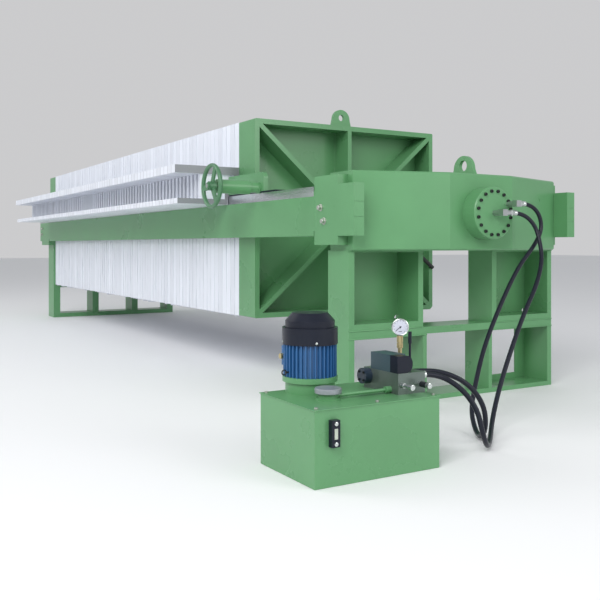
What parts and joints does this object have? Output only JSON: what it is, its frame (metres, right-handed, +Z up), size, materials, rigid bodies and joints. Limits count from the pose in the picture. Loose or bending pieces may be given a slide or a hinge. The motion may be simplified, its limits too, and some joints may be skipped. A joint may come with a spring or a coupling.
{
  "type": "plate filter press",
  "caption": "Large hydraulic plate filter press: closed pack of white plates on two side beams, moving and fixed heads, handwheel carriage and a power pack with hoses.",
  "frame": {"origin": "on the floor at the centre of the cylinder-end stand's foot", "axes": "+Z up, +Y along the press from the cylinder end to the fixed head, +X across the press"},
  "size_m": [3.276, 9.0432, 2.099],
  "materials": {
    "green_paint": "satin paint",
    "motor_paint": "satin paint",
    "polypropylene": "as moulded",
    "stainless": "brushed",
    "machined_steel": "machined",
    "hard_chrome": "polished",
    "slate_paint": "satin paint",
    "black_plastic": "moulded",
    "black_steel": "semi-gloss",
    "brass": "turned",
    "gauge_case": "polished",
    "hose_rubber": "smooth cover"
  },
  "bodies": {
    "frame": {"adjusting_valves": "machined_steel", "beam_pads": "green_paint", "bell_housing": "green_paint", "cable_gland": "brass", "crosshead": "green_paint", "cylinder_barrel": "green_paint", "cylinder_cap": "green_paint", "cylinder_gland": "machined_steel", "far_stand": "green_paint", "far_upper_legs": "green_paint", "feed_nozzle": "stainless", "filler_cap": "machined_steel", "filler_neck": "green_paint", "filter_plates_1": "polypropylene", "filter_plates_2": "polypropylene", "filter_plates_3": "polypropylene", "filter_plates_4": "polypropylene", "fixed_head": "green_paint", "gauge_stem": "brass", "hand_lever": "black_plastic", "hose_centre": "hose_rubber", "hose_upper": "hose_rubber", "keeper_blocks": "green_paint", "level_gauge": "black_plastic", "manifold": "machined_steel", "manifold_outlets": "machined_steel", "motor_body": "motor_paint", "motor_cowl": "black_plastic", "near_base_plate": "green_paint", "near_lower_leg_left": "green_paint", "near_lower_leg_right": "green_paint", "near_mid_plate": "green_paint", "near_upper_leg_left": "green_paint", "near_upper_leg_right": "green_paint", "plate_handles_left": "polypropylene", "plate_handles_right": "polypropylene", "port_fittings": "machined_steel", "pressure_gauge": "gauge_case", "rail_left": "stainless", "rail_right": "stainless", "relief_valve": "machined_steel", "side_beam_left": "green_paint", "side_beam_right": "green_paint", "tank": "green_paint", "tank_lid": "green_paint", "terminal_box": "motor_paint", "transfer_pipe": "green_paint", "valve_body": "slate_paint", "valve_coil": "black_plastic"},
    "moving_head": {"follower": "green_paint", "side_bar": "black_steel", "ram": "hard_chrome", "carriage_left": "green_paint", "carriage_right": "green_paint", "slide_shoes": "black_plastic", "handwheel_sleeve": "green_paint"},
    "handwheel": {"handwheel": "green_paint", "handwheel_shaft": "machined_steel"}
  },
  "joints": [
    {"name": "follower_slide", "type": "slide", "parent": "frame", "child": "moving_head", "axis": [0, -1, 0], "range_m": [0, 0.45]},
    {"name": "handwheel_turn", "type": "hinge", "parent": "moving_head", "child": "handwheel", "pos_m": [-1, 0.933, 1.41], "axis": [1, 0, 0], "continuous": true}
  ]
}
